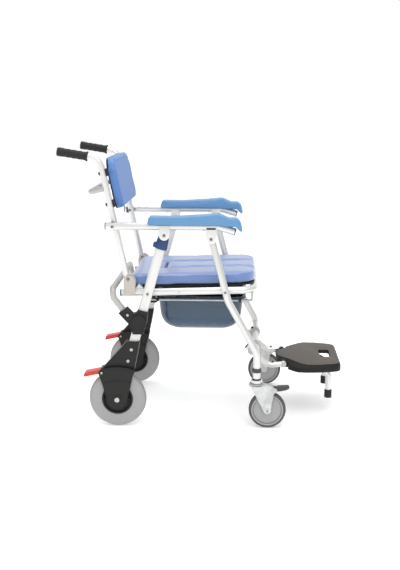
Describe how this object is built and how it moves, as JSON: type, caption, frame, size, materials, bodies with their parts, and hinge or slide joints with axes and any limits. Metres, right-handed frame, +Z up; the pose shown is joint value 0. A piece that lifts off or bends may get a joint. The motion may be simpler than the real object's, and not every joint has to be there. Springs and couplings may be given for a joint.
{
  "type": "commode chair",
  "caption": "Folding wheeled commode chair with padded seat, sliding pan, level armrests, flip-up footplate, large braked rear wheels and braked swivel casters.",
  "frame": {"origin": "on the floor under the middle of the chair's whole length and width", "axes": "+X forwards, towards the footplate; +Y to the sitter's left; +Z up"},
  "size_m": [0.9893, 0.572, 0.9707],
  "materials": {
    "white_tube": "satin silver-white",
    "grey_tube": "satin grey",
    "zinc": "zinc plated",
    "bracket_beige": "satin warm grey",
    "black_plastic": "moulded, satin",
    "dark_grey_plastic": "moulded, satin",
    "blue_cushion": "smooth synthetic cover",
    "blue_pad": "soft moulded",
    "blue_plastic": "moulded",
    "pan_plastic": "moulded, glossy",
    "tyre_grey": "solid grey tyre",
    "caster_grey": "moulded wheel",
    "black_rubber": "soft grip",
    "red_plastic": "moulded",
    "footplate_top": "textured"
  },
  "bodies": {
    "seat_frame": {"seat_frame_tube": "white_tube", "seat_cross_bar": "white_tube", "rail_end_caps": "blue_plastic", "back_hinge_brackets": "bracket_beige", "back_hinge_bolts": "zinc", "leg_pivot_bolts": "zinc", "seat_base_board": "black_plastic", "seat_cushion": "blue_cushion", "pan_rails": "white_tube"},
    "centre_pad_set": {"centre_pad": "blue_cushion", "centre_pad_board": "black_plastic"},
    "pan": {"commode_pan": "pan_plastic"},
    "back_frame": {"back_tubes": "white_tube", "push_grips": "black_rubber", "back_cross_tube": "grey_tube", "backrest_shell": "black_plastic", "backrest_pad": "blue_cushion", "backrest_screws": "dark_grey_plastic", "armrest_pivot_bolts": "zinc", "armrest_bushings": "blue_plastic"},
    "armrests": {"armrest_tubes": "white_tube", "armrest_end_caps": "blue_plastic", "armrest_pads": "blue_pad", "armrest_rear_brackets": "white_tube", "armrest_front_brackets": "white_tube", "armrest_bracket_bolts": "zinc"},
    "front_frame": {"front_legs": "white_tube", "front_cross_tube": "white_tube", "leg_collars": "dark_grey_plastic", "caster_stems": "white_tube", "footrest_clamps": "dark_grey_plastic", "footrest_tubes": "white_tube", "footrest_tube_caps": "blue_plastic"},
    "footplate_set": {"footplate": "footplate_top", "footplate_legs": "white_tube", "footplate_feet": "black_rubber", "footplate_hinge_bolts": "zinc"},
    "rear_frame": {"rear_legs": "white_tube", "rear_cross_tube": "white_tube", "leg_housings": "black_plastic", "wheel_brackets": "black_plastic", "rear_frame_bolts": "zinc", "rear_axles": "zinc"},
    "brace": {"brace_rods": "white_tube"},
    "latch_right": {"latch_collar_right": "blue_plastic"},
    "latch_left": {"latch_collar_left": "blue_plastic"},
    "rear_wheel_right": {"rear_tyre_right": "tyre_grey", "rear_hub_right": "black_plastic"},
    "rear_wheel_left": {"rear_tyre_left": "tyre_grey", "rear_hub_left": "black_plastic"},
    "wheel_brake_body_right": {"wheel_brake_right": "red_plastic"},
    "wheel_brake_body_left": {"wheel_brake_left": "red_plastic"},
    "caster_right": {"caster_fork_right": "zinc"},
    "caster_left": {"caster_fork_left": "zinc"},
    "caster_roller_right": {"caster_wheel_right": "caster_grey"},
    "caster_roller_left": {"caster_wheel_left": "caster_grey"},
    "caster_brake_body_right": {"caster_brake_right": "dark_grey_plastic"},
    "caster_brake_body_left": {"caster_brake_left": "dark_grey_plastic"}
  },
  "joints": [
    {"name": "back_fold", "type": "hinge", "parent": "seat_frame", "child": "back_frame", "pos_m": [-0.2565, 0, 0.522], "axis": [0, 1, 0], "range_deg": [0, 56]},
    {"name": "front_leg_fold", "type": "hinge", "parent": "seat_frame", "child": "front_frame", "pos_m": [0.0785, 0, 0.48216], "axis": [0, 1, 0], "range_deg": [0, 56.5]},
    {"name": "rear_leg_fold", "type": "hinge", "parent": "seat_frame", "child": "rear_frame", "pos_m": [-0.1875, 0, 0.47391], "axis": [0, 1, 0], "range_deg": [0, 39.7]},
    {"name": "armrest_level", "type": "hinge", "parent": "back_frame", "child": "armrests", "pos_m": [-0.3045, 0, 0.706], "axis": [0, 1, 0], "range_deg": [-56.5, 0]},
    {"name": "brace_slide", "type": "slide", "parent": "rear_frame", "child": "brace", "axis": [0.2777, 0, 0.9607], "range_m": [0, 0.0753]},
    {"name": "latch_release_right", "type": "slide", "parent": "rear_frame", "child": "latch_right", "axis": [-0.2777, 0, -0.9607], "range_m": [0, 0.007], "stiffness_N_per_m": 300, "springref_m": -0.01},
    {"name": "latch_release_left", "type": "slide", "parent": "rear_frame", "child": "latch_left", "axis": [-0.2777, 0, -0.9607], "range_m": [0, 0.007], "stiffness_N_per_m": 300, "springref_m": -0.01},
    {"name": "rear_wheel_spin_right", "type": "hinge", "parent": "rear_frame", "child": "rear_wheel_right", "pos_m": [-0.2965, -0.252, 0.1], "axis": [0, 1, 0], "continuous": true},
    {"name": "rear_wheel_spin_left", "type": "hinge", "parent": "rear_frame", "child": "rear_wheel_left", "pos_m": [-0.2965, 0.252, 0.1], "axis": [0, 1, 0], "continuous": true},
    {"name": "wheel_brake_press_right", "type": "hinge", "parent": "rear_frame", "child": "wheel_brake_body_right", "pos_m": [-0.3485, -0.252, 0.197], "axis": [0, -1, 0], "range_deg": [0, 10]},
    {"name": "wheel_brake_press_left", "type": "hinge", "parent": "rear_frame", "child": "wheel_brake_body_left", "pos_m": [-0.3485, 0.252, 0.197], "axis": [0, -1, 0], "range_deg": [0, 10]},
    {"name": "caster_swivel_right", "type": "hinge", "parent": "front_frame", "child": "caster_right", "pos_m": [0.1895, -0.252, 0.16], "axis": [0, 0, 1], "continuous": true},
    {"name": "caster_swivel_left", "type": "hinge", "parent": "front_frame", "child": "caster_left", "pos_m": [0.1895, 0.252, 0.16], "axis": [0, 0, 1], "continuous": true},
    {"name": "caster_spin_right", "type": "hinge", "parent": "caster_right", "child": "caster_roller_right", "pos_m": [0.2275, -0.252, 0.065], "axis": [0, 1, 0], "continuous": true},
    {"name": "caster_spin_left", "type": "hinge", "parent": "caster_left", "child": "caster_roller_left", "pos_m": [0.2275, 0.252, 0.065], "axis": [0, 1, 0], "continuous": true},
    {"name": "caster_brake_press_right", "type": "hinge", "parent": "caster_right", "child": "caster_brake_body_right", "pos_m": [0.2515, -0.252, 0.138], "axis": [0, 1, 0], "range_deg": [0, 10]},
    {"name": "caster_brake_press_left", "type": "hinge", "parent": "caster_left", "child": "caster_brake_body_left", "pos_m": [0.2515, 0.252, 0.138], "axis": [0, 1, 0], "range_deg": [0, 10]},
    {"name": "footplate_flip", "type": "hinge", "parent": "front_frame", "child": "footplate_set", "pos_m": [0.2885, 0, 0.187], "axis": [0, -1, 0], "range_deg": [0, 95]},
    {"name": "pan_slide", "type": "slide", "parent": "seat_frame", "child": "pan", "axis": [-1, 0, 0], "range_m": [0, 0.3]},
    {"name": "centre_pad_slide", "type": "slide", "parent": "seat_frame", "child": "centre_pad_set", "axis": [0.9995, 0, 0.031], "range_m": [0, 0.33]}
  ],
  "couplings": [
    {"joint": "front_leg_fold", "follows": "back_fold", "ratio": 1},
    {"joint": "rear_leg_fold", "follows": "back_fold", "ratio": 0.7},
    {"joint": "armrest_level", "follows": "back_fold", "ratio": -1},
    {"joint": "brace_slide", "follows": "back_fold", "m_per_rad": 0.076}
  ]
}
